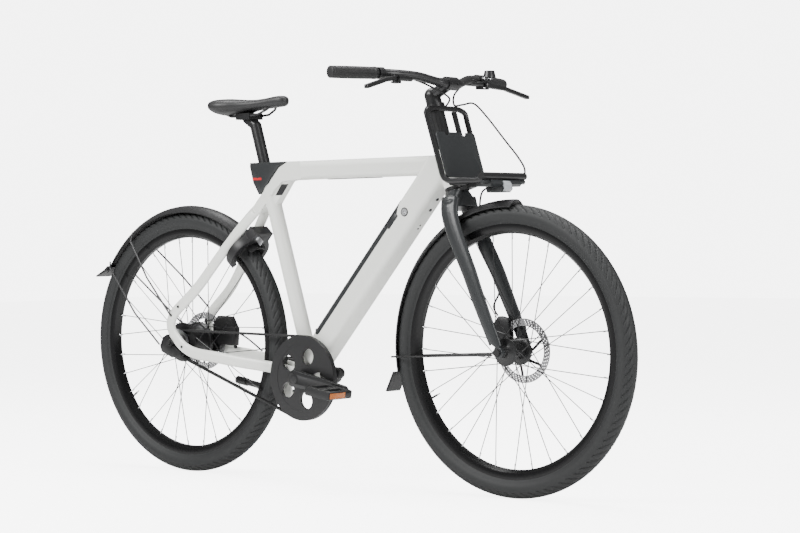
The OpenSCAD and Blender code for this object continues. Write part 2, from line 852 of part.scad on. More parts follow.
module front_hub() {
  color(black) place() about_axle(wheelbase, wheel_r) rotate_extrude() polygon([
    [6.05, -48], [12, -48], [14, -38], [20, -34], [34, -33], [34, -27], [20, -25],
    [17, 0], [20, 25], [34, 27], [34, 33], [22, 36], [22, 42.5], [13, 42.5], [13, 45], [12, 48], [6.05, 48]
  ]);
}

module front_rotor() {
  color(steel) place() rotor(wheelbase, 42.5, 13.02);
}

module fork() {
  color(graphite) place() {
    on_head() cylinder(r = steerer_r, h = 256);
    on_head() hull() {
      translate([0, 0, -12.6]) cylinder(r = head_r, h = 4);
      translate([0, 0, -56]) linear_extrude(18) polygon(round_rect(46, 98, 20));
    }
    for (route = [fork_leg_route, mirrored(fork_leg_route)]) difference() {
      sweep(smooth_path(route, 2), oval(11, 26), first = 1.08, last = 0.64);
      translate([wheelbase, -80, wheel_r - 60]) rotate([0, -60, 0]) cube([60, 160, 60]);
      axle_rod(wheelbase, wheel_r, 6.05, -90, 90);
      on_head() translate([0, 0, -8.6]) cylinder(r = 60, h = 60);
    }
    for (side = [-1, 1]) difference() {
      axle_rod(wheelbase, wheel_r, 14, min(side * 51, side * 64), max(side * 51, side * 64));
      axle_rod(wheelbase, wheel_r, 6.05, -90, 90);
    }
  }
}

// Tall stem: a column over the headset, an elbow, and the bar clamp
module stem() {
  color(black) place() difference() {
    union() {
      on_head() translate([0, 0, head_len + 8.3]) cylinder(r = column_r, h = 138);
      rod([876.5, 0, 1000], [bar_x - 4, 0, bar_z - 1], 15);
      translate([877, 0, 1001]) sphere(r = 20.4);
      axle_rod(bar_x, bar_z, 17, -20, 20);
    }
    on_head() cylinder(r = steerer_r + 0.05, h = 256.2);
    axle_rod(bar_x, bar_z, 13.05, -40, 40);
  }
}

module handlebar() {
  color(black) place() {
    sweep(smooth_path(bar_path, 3), oval(11.1, 11.1), across = [0, 0, 1]);
    axle_rod(bar_x, bar_z, 13, -30, 30);
  }
}

// Point at distance t from the bar's end, on the straight stretch of one side
function bar_point(side, t) = let (
  a = bar_route[6],
  b = bar_route[5],
  p = a + unit(b - a) * t
) [p.x, -side * p.y, p.z];

module grips() {
  color(rubber) place() for (side = [-1, 1]) rod(bar_point(side, -2), bar_point(side, 132), 15.8);
}

// Lever clamps with their master cylinders, inboard of the grips
module brake_mounts() {
  color(black) place() for (side = [-1, 1]) {
    rod(bar_point(side, 140), bar_point(side, 156), 15);
    hull() {
      rod([892, side * 112, 1038], [889, side * 170, 1038], 8, $fn = 20);
      rod([904, side * 116, 1036], [904, side * 168, 1036], 7, $fn = 20);
    }
    for (z = [1022.6, 1039.6]) hull() {
      translate([lever_pivot.x, side * lever_pivot.y, z]) cylinder(r = 7, h = lever_fork_t, $fn = 24);
      translate([900, side * 166, z]) cylinder(r = 7, h = lever_fork_t, $fn = 24);
    }
    translate([892, side * 165 - 6, 1022.6]) cube([16, 12, 17 + lever_fork_t]);
    translate([lever_pivot.x, side * lever_pivot.y, 1024]) cylinder(r = 2.3, h = 17);
  }
}

module lever(side) {
  difference() {
    union() {
      hull() {
        translate([lever_pivot.x, side * lever_pivot.y, 1029]) cylinder(r = 8, h = 10, $fn = 24);
        translate([924, side * 240, 1022]) cylinder(r = 6, h = 9, $fn = 24);
      }
      hull() {
        translate([924, side * 240, 1022]) cylinder(r = 6, h = 9, $fn = 24);
        translate([936, side * 322, 1002]) cylinder(r = 6, h = 9, $fn = 24);
      }
    }
    translate([lever_pivot.x, side * lever_pivot.y, 1000]) cylinder(r = 2.5, h = 60);
  }
}

module lever_right() {
  color(black) place() lever(-1);
}

module lever_left() {
  color(black) place() lever(1);
}

// Bell on the left of the bar: clamp, arm, post and dome
module bell() {
  color(graphite) place() {
    difference() {
      union() {
        rod(bar_point(1, 160), bar_point(1, 170), 14.5);
        hull() {
          translate([888, 183, bell_foot.z - 3]) cylinder(r = 5, h = 3);
          translate(bell_foot - [0, 0, 3]) cylinder(r = 6, h = 3);
        }
      }
      rod(bar_point(1, 150), bar_point(1, 180), 11.2);
    }
    translate(bell_foot - [0, 0, 1]) cylinder(r = 4, h = 22);
    translate(bell_foot + [0, 0, 5]) difference() {
      cylinder(r1 = 17, r2 = 13, h = 18);
      translate([0, 0, -1]) cylinder(r1 = 15.4, r2 = 11.6, h = 17);
    }
  }
}

// Thumb lever that turns under the dome
module bell_striker() {
  color(steel) place() translate(bell_foot + [0, 0, 0.5]) difference() {
    union() {
      cylinder(r = 8, h = 3);
      translate([-2.5, -25, 0]) cube([5, 20, 3]);
      translate([0, -25, 0]) cylinder(r = 4.5, h = 5);
    }
    translate([0, 0, -1]) cylinder(r = 4.05, h = 8);
  }
}

// Front and rear brake hoses at the bar; the rear one runs into the stem
module front_hose() {
  color(black) place() {
    cord(smooth_path(front_hose_route, 3), 2.5, across = [0.3, 1, 0.2]);
    cord(smooth_path(bar_hose_route, 3), 2.5, across = [0.9, 0.1, 0.4]);
  }
}

// One side rail of the rack, from front to top
function rack_rail(side) = [for (p = rack_loop_route) [p[0], side * rack_half_w, p[1]]];

// Front rack: a loop of bent tube, its front bar, two struts behind the panel, and its brackets
module rack() {
  rail = rack_rail(1);
  loop = concat(rack_rail(-1), rack_arch_route, [for (i = [len(rail) - 1 : -1 : 0]) rail[i]]);
  color(black) place() {
    cord(smooth_path(loop, 2), rack_tube_r, 10, across = [0.96, 0.02, 0.29]);
    axle_rod(1097, 792, 9, -88, 88);
    for (side = [-1, 1]) {
      rod([1085, side * rack_half_w, 783], [1097, side * rack_half_w, 786], 8);
      slab([[918, 957], [952, 850], [956, 850], [922, 959]], side * 32 - 9, side * 32 + 9);
    }
    difference() {
      union() {
        on_head() translate([0, 0, 200]) cylinder(r = 25, h = 18);
        slab([[880, 954], [915, 961], [915, 971], [876, 966]], -11, 11);
      }
      on_head() cylinder(r = column_r + 0.1, h = 300);
    }
    on_head() translate([15, -16, -17]) cube([40, 32, 8]);
    axle_rod(996, 776, 5, -80, 80);
  }
}

// Flat panel in front of the loop, with two notches in its upper edge
module rack_panel() {
  color(graphite) place() translate([962, 0, 850]) rotate([0, -head_tilt, 0]) rotate([90, 0, 90])
    linear_extrude(4) difference() {
      translate([0, -2.5]) polygon(round_rect(2 * rack_half_w - 2, 119, 8));
      for (side = [-1, 1]) translate([side * 34, 57]) circle(r = 9);
    }
}

// Headlamp under the rack's front bar, with its lens facing forward
module headlamp() {
  color(graphite) place() {
    slab([[1060, 766], [1104, 766], [1110, 772], [1104, 782.5], [1064, 782.5]], -60, 60);
    slab([[1062, 752], [1104, 752], [1112, 760], [1110, 765.8], [1058, 765.8]], -20, 20);
    axle_rod(1097, 778, 6, -84, -60.2);
    axle_rod(1097, 778, 6, 60.2, 84);
  }
}

// Front mudguard with its flap and two wire stays
module front_fender() {
  color(black) place() {
    fender_arc(wheelbase + 2, wheel_r + 3, front_fender_r, 87.6, 190);
    slab([[757, 302], [762, 300], [738, 250], [732, 252]], -26, 26);
    for (side = [-1, 1]) cord([
      [756, side * 29, 340], [770, side * 38, 341], [900, side * 52, 346], [1106, side * 67, 355]
    ], 2.5);
  }
}

module front_caliper() {
  color(black) place() difference() {
    slab([[1032, 388], [1072, 372], [1086, 396], [1080, 440], [1050, 446], [1030, 424]], 36, 54);
    about_axle(wheelbase, wheel_r) translate([0, 0, 41]) cylinder(r = rotor_r + 3, h = 5);
  }
}

module front_axle() {
  color(steel) place() {
    axle_rod(wheelbase, wheel_r, 6, -70, 70);
    axle_rod(wheelbase, wheel_r, 9, -70, -64.2);
    axle_rod(wheelbase, wheel_r, 9, 64.2, 70);
  }
}

head_tube();
top_tube();
down_tube();
seat_tube();
bearing_cups();
seat_stays();
chain_stays();
dropouts();
frame_bolts();
tail_fairing();
rear_light();
rear_axle();
rear_fender();
rear_caliper();
rear_hose();
belt();
ring_lock();
bb_cover();
battery_pack();
battery_cover();
battery_latch();
battery_lock();
ring_lock_bolt();
ring_lock_key();
kickstand_leg();
seatpost();
saddle_rails();
saddle();
spindles();
belt_ring();
crank_arms();
pedal_right();
pedal_left();
rear_tyre();
rear_rim();
rear_spokes();
rear_hub();
rear_rotor();
rear_sprocket();
front_tyre();
front_rim();
front_spokes();
front_hub();
front_rotor();
fork();
stem();
handlebar();
grips();
brake_mounts();
lever_right();
lever_left();
bell();
bell_striker();
front_hose();
rack();
rack_panel();
headlamp();
front_fender();
front_caliper();
front_axle();
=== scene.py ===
"""Looks for the city e-bike: fused frame and fork, tyres with tread, saddle, grips, trim, light, camera."""
import json
import math

import bmesh
import bpy
from mathutils import Matrix, Vector


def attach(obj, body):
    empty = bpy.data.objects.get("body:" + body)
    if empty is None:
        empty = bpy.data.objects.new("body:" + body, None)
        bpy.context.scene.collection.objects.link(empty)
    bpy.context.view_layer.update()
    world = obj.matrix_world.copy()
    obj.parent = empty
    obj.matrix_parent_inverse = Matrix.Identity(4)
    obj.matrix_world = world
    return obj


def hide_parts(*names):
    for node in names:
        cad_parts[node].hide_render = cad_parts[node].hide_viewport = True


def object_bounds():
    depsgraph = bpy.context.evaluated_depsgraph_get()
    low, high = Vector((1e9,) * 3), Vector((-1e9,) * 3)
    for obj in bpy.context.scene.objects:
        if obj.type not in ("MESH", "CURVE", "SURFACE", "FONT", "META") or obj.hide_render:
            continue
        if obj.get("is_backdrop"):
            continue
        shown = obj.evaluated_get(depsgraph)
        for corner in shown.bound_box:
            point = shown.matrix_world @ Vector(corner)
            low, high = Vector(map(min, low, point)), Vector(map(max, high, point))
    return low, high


# Millimetres in the bicycle's side view: the row's origin ahead of the rear axle, and the wheels' centres
MID_X, WHEELBASE, AXLE_Z = 561.0, 1122.0, 361.0
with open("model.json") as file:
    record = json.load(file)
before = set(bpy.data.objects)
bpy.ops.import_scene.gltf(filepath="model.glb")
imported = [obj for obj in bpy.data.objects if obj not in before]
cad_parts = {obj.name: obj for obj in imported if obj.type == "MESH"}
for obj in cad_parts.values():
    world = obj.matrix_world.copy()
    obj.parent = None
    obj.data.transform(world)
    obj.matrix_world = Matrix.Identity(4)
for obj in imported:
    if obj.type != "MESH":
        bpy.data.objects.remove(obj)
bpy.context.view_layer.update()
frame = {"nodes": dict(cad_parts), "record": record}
nodes = frame["nodes"]


def row(x, y, z):
    """Row-frame metres from millimetres off the rear axle."""
    return Vector(((x - MID_X) / 1000, y / 1000, z / 1000))


# ---------- materials ----------
def material(name, color, rough, metallic=0.0, coat=0.0, speckle=0.0, bump=0.0, scale=400.0, specular=0.5):
    """Principled material with fine colour and roughness variation, and a bump from noise."""
    m = bpy.data.materials.new(name)
    m.use_nodes = True
    tree = m.node_tree
    shader = tree.nodes["Principled BSDF"]
    shader.inputs["Base Color"].default_value = (*color, 1.0)
    shader.inputs["Metallic"].default_value = metallic
    shader.inputs["Coat Weight"].default_value = coat
    shader.inputs["Coat Roughness"].default_value = 0.12
    shader.inputs["Specular IOR Level"].default_value = specular
    coords = tree.nodes.new("ShaderNodeTexCoord")
    noise = tree.nodes.new("ShaderNodeTexNoise")
    noise.inputs["Scale"].default_value = scale
    noise.inputs["Detail"].default_value = 4.0
    tree.links.new(coords.outputs["Object"], noise.inputs["Vector"])
    ramp = tree.nodes.new("ShaderNodeMapRange")
    ramp.inputs["To Min"].default_value = max(rough - 0.06, 0.02)
    ramp.inputs["To Max"].default_value = min(rough + 0.06, 1.0)
    tree.links.new(noise.outputs["Fac"], ramp.inputs["Value"])
    tree.links.new(ramp.outputs["Result"], shader.inputs["Roughness"])
    if speckle:
        mix = tree.nodes.new("ShaderNodeMix")
        mix.data_type = "RGBA"
        mix.inputs["A"].default_value = (*color, 1.0)
        mix.inputs["B"].default_value = (*[min(1.0, c * (1 + speckle) + 0.01) for c in color], 1.0)
        tree.links.new(noise.outputs["Fac"], mix.inputs["Factor"])
        tree.links.new(mix.outputs["Result"], shader.inputs["Base Color"])
    if bump:
        bumper = tree.nodes.new("ShaderNodeBump")
        bumper.inputs["Strength"].default_value = 0.6
        bumper.inputs["Distance"].default_value = bump
        tree.links.new(noise.outputs["Fac"], bumper.inputs["Height"])
        tree.links.new(bumper.outputs["Normal"], shader.inputs["Normal"])
    return m


# Finishes for each of the record's material slots: colour, roughness and the material's other values
SLOTS = {
    "frame_paint": ((0.80, 0.81, 0.765), 0.33, dict(coat=0.3, bump=0.00002, scale=900)),
    "graphite_paint": (
        (0.012, 0.0135, 0.0145), 0.36, dict(coat=0.1, speckle=0.2, bump=0.00003, scale=1400, specular=0.4)),
    "black_metal": (
        (0.006, 0.006, 0.0065), 0.32, dict(speckle=0.2, bump=0.00002, scale=1200, specular=0.4)),
    "black_plastic": (
        (0.007, 0.007, 0.0075), 0.42, dict(speckle=0.2, bump=0.00006, scale=1500, specular=0.35)),
    "tyre": ((0.0085, 0.0092, 0.0095), 0.60, dict(speckle=0.3, bump=0.0001, scale=900, specular=0.35)),
    "rubber": ((0.008, 0.008, 0.0085), 0.55, dict(speckle=0.2, bump=0.00008, scale=900, specular=0.35)),
    "belt": ((0.007, 0.007, 0.0075), 0.50, dict(speckle=0.2, bump=0.00005, scale=1100, specular=0.35)),
    "saddle_cover": (
        (0.009, 0.009, 0.0095), 0.46, dict(speckle=0.15, bump=0.00003, scale=1800, specular=0.4)),
    "steel": ((0.60, 0.61, 0.62), 0.28, dict(metallic=1.0, bump=0.00002, scale=700)),
    "silver": ((0.66, 0.67, 0.68), 0.33, dict(metallic=1.0, bump=0.00002, scale=900)),
    "red_lens": ((0.55, 0.012, 0.018), 0.16, dict(coat=0.6)),
}
MATERIALS = {name: material(name, color, rough, **more) for name, (color, rough, more) in SLOTS.items()}
AMBER = material("amber_reflector", (0.42, 0.11, 0.010), 0.26, coat=0.5, bump=0.0003, scale=900)
LENS = material("lamp_lens", (0.42, 0.44, 0.46), 0.10, coat=0.8, bump=0.0006, scale=300)
RIM = material("rim_gloss", (0.003, 0.003, 0.0033), 0.24, bump=0.00002, scale=900, specular=0.3)
ROTOR = material("rotor_steel", (0.42, 0.42, 0.43), 0.34, metallic=1.0, bump=0.00002, scale=900)


def placed(name, data):
    """A new object in the scene."""
    obj = bpy.data.objects.new(name, data)
    bpy.context.scene.collection.objects.link(obj)
    return obj


def dress(obj, mat):
    """Gives an object one material, by the name of its slot or as a material."""
    obj.data.materials.clear()
    obj.data.materials.append(MATERIALS[mat] if isinstance(mat, str) else mat)


def modifier(obj, kind, **values):
    """Adds a modifier and sets its values."""
    m = obj.modifiers.new(kind.lower(), kind)
    for key, value in values.items():
        setattr(m, key, value)
    return m


def split_edges(obj, angle):
    """Keeps edges sharper than the angle, in degrees, hard."""
    modifier(obj, "EDGE_SPLIT", split_angle=math.radians(angle))


def baked(obj):
    """Applies an object's modifiers to its mesh."""
    depsgraph = bpy.context.evaluated_depsgraph_get()
    mesh = bpy.data.meshes.new_from_object(obj.evaluated_get(depsgraph))
    obj.modifiers.clear()
    obj.data = mesh
    return obj


def soften(obj, bevel=0.0, angle=35):
    """Smooth shading that keeps edges sharper than the angle, with an optional small bevel."""
    for p in obj.data.polygons:
        p.use_smooth = True
    modifier(obj, "WELD", merge_threshold=0.00002)
    if bevel:
        modifier(obj, "BEVEL", width=bevel, segments=2, limit_method="ANGLE", angle_limit=math.radians(40))
    split_edges(obj, angle)


def piece(name, verts, faces, mat, body, stands_for=(), smooth=True):
    """A new mesh in the row frame (metres) that rides on a body."""
    mesh = bpy.data.meshes.new(name)
    mesh.from_pydata([tuple(v) for v in verts], [], faces)
    mesh.validate()
    obj = placed(name, mesh)
    for p in mesh.polygons:
        p.use_smooth = smooth
    dress(obj, mat)
    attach(obj, body)
    if stands_for:
        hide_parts(*stands_for)
    return obj


def grid_faces(rows, cols, closed_rows=False, closed_cols=True, flip=False):
    """Quads of a grid of vertices, wrapped round in either direction."""
    out = []
    for i in range(rows if closed_rows else rows - 1):
        for j in range(cols if closed_cols else cols - 1):
            a, b = i * cols + j, i * cols + (j + 1) % cols
            c, d = ((i + 1) % rows) * cols + (j + 1) % cols, ((i + 1) % rows) * cols + j
            out.append((a, d, c, b) if flip else (a, b, c, d))
    return out


def capped_faces(rows, cols):
    """Quads of a tube of vertices, with a face over each end."""
    last = (rows - 1) * cols
    return grid_faces(rows, cols) + [tuple(range(cols)), tuple(reversed(range(last, last + cols)))]


def ringed(name, centre, profile, mat, body, steps=96, closed=False, stands_for=(), split=32):
    """Turned part about a line along Y: profile is (radius, y) in millimetres."""
    verts = []
    for i in range(steps):
        a = 2 * math.pi * i / steps
        for r, y in profile:
            verts.append(row(centre[0] + r * math.cos(a), y, centre[1] + r * math.sin(a)))
    faces = grid_faces(steps, len(profile), closed_rows=True, closed_cols=closed)
    obj = piece(name, verts, faces, mat, body, stands_for)
    outward(obj)
    split_edges(obj, split)
    return obj


def outward(obj):
    """Points the faces' normals out."""
    b = bmesh.new()
    b.from_mesh(obj.data)
    bmesh.ops.recalc_face_normals(b, faces=b.faces)
    b.to_mesh(obj.data)
    b.free()


def spline(points, per=8):
    """Catmull-Rom curve through points, as a list of vectors."""
    p = [Vector(q) for q in points]
    out = []
    for i in range(len(p) - 1):
        a, b, c, d = p[max(i - 1, 0)], p[i], p[i + 1], p[min(i + 2, len(p) - 1)]
        for k in range(per):
            t = k / per
            square, cube = 2 * a - 5 * b + 4 * c - d, 3 * b - a - 3 * c + d
            out.append(0.5 * (2 * b + (c - a) * t + square * t * t + cube * t ** 3))
    out.append(p[-1])
    return out


def tube(name, path, radius, mat, body, sides=20, stands_for=(), split=40):
    """Round tube along a path in millimetres; radius is a number or one for each point."""
    pts = [Vector(p) for p in path]
    n = len(pts)
    radii = radius if isinstance(radius, (list, tuple)) else [radius] * n
    verts = []
    up = None
    for i, p in enumerate(pts):
        t = (pts[min(i + 1, n - 1)] - pts[max(i - 1, 0)]).normalized()
        if up is None:
            up = t.orthogonal().normalized()
        up = (up - t * up.dot(t)).normalized()
        side = t.cross(up)
        for j in range(sides):
            a = 2 * math.pi * j / sides
            q = p + radii[i] * (math.cos(a) * up + math.sin(a) * side)
            verts.append(row(*q))
    obj = piece(name, verts, capped_faces(n, sides), mat, body, stands_for)
    outward(obj)
    split_edges(obj, split)
    return obj


def plate(name, outline, y0, y1, mat, body, bevel=0.0006):
    """Flat part between two y values with an outline in the X-Z plane, in millimetres."""
    n = len(outline)
    verts = [row(x, y0, z) for x, z in outline] + [row(x, y1, z) for x, z in outline]
    faces = [tuple(range(n)), tuple(reversed(range(n, 2 * n)))]
    faces += [(i, (i + 1) % n, n + (i + 1) % n, n + i) for i in range(n)]
    obj = piece(name, verts, faces, mat, body)
    outward(obj)
    modifier(obj, "BEVEL", width=bevel, segments=2, limit_method="ANGLE")
    split_edges(obj, 32)
    return obj


def fused(name, parts, voxel, passes, mat, body):
    """One skin over several CAD nodes, with its joints rounded like welds."""
    b = bmesh.new()
    for part in parts:
        b.from_mesh(nodes[part].data)
    bmesh.ops.remove_doubles(b, verts=b.verts, dist=0.000002)
    mesh = bpy.data.meshes.new(name)
    b.to_mesh(mesh)
    b.free()
    skin = placed(name, mesh)
    modifier(skin, "REMESH", mode="VOXEL", voxel_size=voxel)
    modifier(skin, "SMOOTH", factor=0.5, iterations=passes)
    baked(skin)
    for p in skin.data.polygons:
        p.use_smooth = True
    dress(skin, mat)
    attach(skin, body)
    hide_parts(*parts)
    return skin


# ---------- carried-over CAD nodes ----------
SLOT_OF = {s["node"]: s["material_slot"] for s in frame["record"]["subparts"]}
BEVELS = {  # in metres
    "dropouts": 0.0012, "tail_fairing": 0.003, "rear_caliper": 0.002, "front_caliper": 0.002,
    "ring_lock": 0.0015, "battery_latch": 0.0006, "rack_panel": 0.0008, "headlamp": 0.0015, "bell": 0.0004,
    "lever_right": 0.0015, "lever_left": 0.0015, "crank_arms": 0.0015, "pedal_right": 0.0008,
    "pedal_left": 0.0008, "rear_light": 0.0004,
}
# Nodes whose finish isn't their slot's
LOOK_OF = {"rear_rim": RIM, "front_rim": RIM, "saddle_rails": "black_metal"}
for key, obj in nodes.items():
    dress(obj, LOOK_OF.get(key, SLOT_OF[key]))
    soften(obj, BEVELS.get(key, 0.0))

# ---------- frame and fork, fused ----------
fused(
    "frame_skin",
    ["head_tube", "top_tube", "down_tube", "seat_tube", "seat_stays", "chain_stays"],
    0.0015, 8, "frame_paint", "frame",
)
fused("fork_skin", ["fork"], 0.0013, 8, "graphite_paint", "steering")

# ---------- wheels ----------
AXLES = {"rear": (0.0, AXLE_Z), "front": (WHEELBASE, AXLE_Z)}
TREAD_STEPS, TREAD_BLOCKS = 1080, 90  # stations round the tyre, and groove pairs
TYRE_R, TYRE_TUBE = 336.0, 24.6  # to the middle of the tyre's section, and that section's radius
SPOKES, REAR_PHASE = 32, 8.6  # spokes a wheel, and the rear wheel's turn in degrees
RIM_BED_R, NIPPLE_R = 290.5, 276.0


def tyre(which):
    """Tyre carcass with a round tread cut by slanted grooves and two rain channels."""
    cx, cz = AXLES[which]
    section = [-128 + 256 * j / 56 for j in range(57)]  # degrees round the tyre's section
    verts = []
    for i in range(TREAD_STEPS):
        a = 2 * math.pi * i / TREAD_STEPS
        for phi in section:
            lean = abs(phi)
            cut = 0.0
            if 11 < lean < 15:  # rain channel either side of the middle
                cut = 0.9
            if 18 < lean < 66:  # slanted grooves
                phase = (TREAD_BLOCKS * i / TREAD_STEPS + lean / 40 + (0.5 if phi < 0 else 0)) % 1.0
                cut = 2.4 if phase < 0.26 else cut
            if 66 < lean < 70:  # line at the tread's edge
                cut = 0.6
            r = TYRE_TUBE + 0.3 - cut
            out = TYRE_R + r * math.cos(math.radians(phi))
            verts.append(row(cx + out * math.cos(a), r * math.sin(math.radians(phi)), cz + out * math.sin(a)))
    faces = grid_faces(TREAD_STEPS, len(section), closed_rows=True, closed_cols=False, flip=True)
    obj = piece(f"{which}_tyre_tread", verts, faces, "tyre", f"{which}_wheel", [f"{which}_tyre"])
    split_edges(obj, 50)
    bead = [(TYRE_R - 15.0, -19.2), (TYRE_R - 22.0, -15.2), (TYRE_R - 22.0, 15.2), (TYRE_R - 15.0, 19.2)]
    ringed(f"{which}_tyre_bead", (cx, cz), bead, "tyre", f"{which}_wheel", steps=180)


def nipples(which, phase):
    """Nipple at each spoke's end, leaning to its own side of the hub."""
    cx, cz = AXLES[which]
    verts, faces = [], []
    for k in range(SPOKES):
        a = math.radians(360 * k / SPOKES + phase)
        side = 1 if k % 2 == 0 else -1
        for r, w in ((NIPPLE_R, 1.5), (RIM_BED_R, 2.1)):
            for j in range(8):
                b = 2 * math.pi * j / 8
                x = cx + r * math.cos(a) - w * math.sin(a) * math.cos(b)
                z = cz + r * math.sin(a) + w * math.cos(a) * math.cos(b)
                verts.append(row(x, w * math.sin(b) + side * (1.6 + (RIM_BED_R - r) * 0.11), z))
        base = 16 * k
        faces += [(base + j, base + (j + 1) % 8, base + 8 + (j + 1) % 8, base + 8 + j) for j in range(8)]
        faces.append(tuple(base + j for j in range(8)))
    outward(piece(f"{which}_nipples", verts, faces, "silver", f"{which}_wheel"))


for which in AXLES:
    tyre(which)
    phase = REAR_PHASE if which == "rear" else 0.0
    nipples(which, phase)
    cx, cz = AXLES[which]
    a = math.radians(phase + 180 / SPOKES + 200)
    stem = [(cx + r * math.cos(a), 0, cz + r * math.sin(a)) for r in (291, 268, 266, 258)]
    tube(f"{which}_valve", stem, [2.8, 2.8, 1.6, 1.6], "black_metal", f"{which}_wheel", sides=10)


def rotor(which, y):
    """Brake rotor: a drilled braking ring on six curved arms."""
    cx, cz = AXLES[which]
    band = [(62, y - 1), (80, y - 1), (80, y + 1), (62, y + 1)]
    ring = ringed(f"{which}_rotor_ring", (cx, cz), band, ROTOR, f"{which}_wheel", steps=144, closed=True,
                  stands_for=[f"{which}_rotor"])
    cutter = bmesh.new()
    for k in range(48):
        for r in (66.5, 71.0, 75.5):
            a = 2 * math.pi * (k + (r - 66) / 14) / 48
            place = Matrix.Translation(row(cx + r * math.cos(a), y, cz + r * math.sin(a)))
            place = place @ Matrix.Rotation(math.pi / 2, 4, "X")
            bmesh.ops.create_cone(cutter, cap_ends=True, segments=10, radius1=0.0016, radius2=0.0016,
                                  depth=0.006, matrix=place)
    mesh = bpy.data.meshes.new("cutter")
    cutter.to_mesh(mesh)
    tool = placed("cutter", mesh)
    ring.modifiers.clear()
    modifier(ring, "BOOLEAN", operation="DIFFERENCE", object=tool, solver="FAST")
    split_edges(ring, 30)
    baked(ring)
    bpy.data.objects.remove(tool)
    verts, faces = [], []
    for k in range(6):
        for i in range(9):
            r = 19 + 44.5 * i / 8
            a = math.radians(60 * k + 26 * math.sin(math.pi * i / 16))
            half = math.radians(200 / r)
            for b, yy in ((a - half, y - 0.9), (a + half, y - 0.9), (a + half, y + 0.9), (a - half, y + 0.9)):
                verts.append(row(cx + r * math.cos(b), yy, cz + r * math.sin(b)))
        base = 36 * k
        faces += [tuple(base + v for v in f) for f in grid_faces(9, 4)]
        faces += [(base, base + 1, base + 2, base + 3), tuple(base + 32 + j for j in (3, 2, 1, 0))]
    outward(piece(f"{which}_rotor_arms", verts, faces, "black_metal", f"{which}_wheel", smooth=False))


HUBS = {  # radius, y
    "rear": [
        (6.1, -58), (15, -58), (16, -57), (18, -38.5), (42, -36.6), (53, -34.6), (54, -33.6), (54, -26.4),
        (53, -25.4), (48, -24), (48.6, -18), (48, 0), (48.6, 18), (48, 24), (53, 25.4), (54, 26.4),
        (54, 33.6), (53, 34.6), (44, 38), (40, 40), (24, 46), (23, 54), (20, 60), (6.1, 60),
    ],
    "front": [
        (6.1, -48), (11, -48), (12, -47), (14, -38), (20, -34), (33, -33.4), (34, -32.6), (34, -27.4),
        (33, -26.6), (20, -25), (17.4, -14), (17, 0), (17.4, 14), (20, 25), (33, 26.6), (34, 27.4),
        (34, 32.6), (33, 33.4), (22, 36), (22, 41), (15, 42.2), (12, 48), (6.1, 48),
    ],
}
ROTOR_Y = {"rear": 56.0, "front": 43.5}
for which, y in ROTOR_Y.items():
    ringed(f"{which}_hub_shell", AXLES[which], HUBS[which], "black_metal", f"{which}_wheel",
           stands_for=[f"{which}_hub"])
    rotor(which, y)

# ---------- belt with teeth on its straight runs ----------
BB = (466.0, 277.5)  # bottom bracket: x, z
RING_R, SPROCKET_R, BELT_Y = 110.4, 34.5, -45.0
CRANK_LENGTH, PEDAL_Y = 170, 147


def belt_teeth():
    """Teeth on the belt's inner side where it runs free, so that they clear the ring and the sprocket."""
    dx, dz = BB[0], BB[1] - AXLE_Z
    lie, spread = math.atan2(dz, dx), math.asin((RING_R - SPROCKET_R) / math.hypot(dx, dz))
    verts, faces = [], []
    for side in (1, -1):
        a = lie + side * (math.pi / 2 + spread)
        out = Vector((math.cos(a), 0, math.sin(a)))
        start = Vector((0, 0, AXLE_Z)) + out * (SPROCKET_R - 2.0)
        end = Vector((BB[0], 0, BB[1])) + out * (RING_R - 2.0)
        run = end - start
        count = int(run.length / 8.0)
        for k in range(4, count - 4):
            p = start + run * ((k + 0.5) / count)
            t = run.normalized()
            base = len(verts)
            for y in (BELT_Y - 5.2, BELT_Y + 5.2):
                for s, depth in ((-2.4, 0), (-1.6, -2.2), (1.6, -2.2), (2.4, 0)):
                    q = p + t * s + out * depth
                    verts.append(row(q.x, y, q.z))
            faces += [(base, base + 1, base + 2, base + 3), (base + 7, base + 6, base + 5, base + 4)]
            faces += [(base + j, base + 4 + j, base + 5 + j, base + 1 + j) for j in range(3)]
    outward(piece("belt_teeth", verts, faces, "belt", "frame", smooth=False))


belt_teeth()

# ---------- saddle ----------
SADDLE = [  # x, half width, top, bottom
    (132.5, 28, 1014, 1000), (136, 52, 1022, 992), (145, 67, 1026, 986), (160, 72, 1027.2, 982),
    (182, 71.5, 1027, 980), (205, 63, 1025.4, 982), (230, 49, 1023, 986), (255, 38, 1021.5, 990),
    (285, 30, 1021.5, 993), (315, 25, 1024, 995), (340, 22, 1027, 996.5), (360, 19, 1027.6, 997.5),
    (371, 14, 1025, 999.5), (377.5, 7, 1018.5, 1005),
]


def saddle():
    """Padded saddle: flat rear, waisted flanks and a rounded nose, with a shallow channel along its top."""
    stations = spline([(x, w, top) for x, w, top, _ in SADDLE], 4)
    lows = spline([(x, low, 0) for x, _, _, low in SADDLE], 4)
    cols, verts = 48, []
    for s, l in zip(stations, lows):
        x, w, top, low = s.x, s.y, s.z, l.y
        split = low + (top - low) * 0.52
        for j in range(cols):
            a = 2 * math.pi * j / cols
            c, d = math.cos(a), math.sin(a)
            y = w * math.copysign(abs(c) ** 0.8, c) * (1.0 if d > -0.2 else 1 - 0.12 * (-d - 0.2))
            if d >= 0:
                z = split + (top - split) * abs(d) ** 0.72
                fade = min(1.0, max(0.0, (x - 165) / 40)) * min(1.0, max(0.0, (352 - x) / 40))
                z -= 2.2 * (math.exp(-((y / 7.0) ** 2)) * fade)
            else:
                z = split + (split - low) * -abs(d) ** 0.9
            verts.append(row(x, y, z))
    obj = piece("saddle_pad", verts, capped_faces(len(stations), cols), "saddle_cover", "seat", ["saddle"])
    outward(obj)
    split_edges(obj, 60)


saddle()

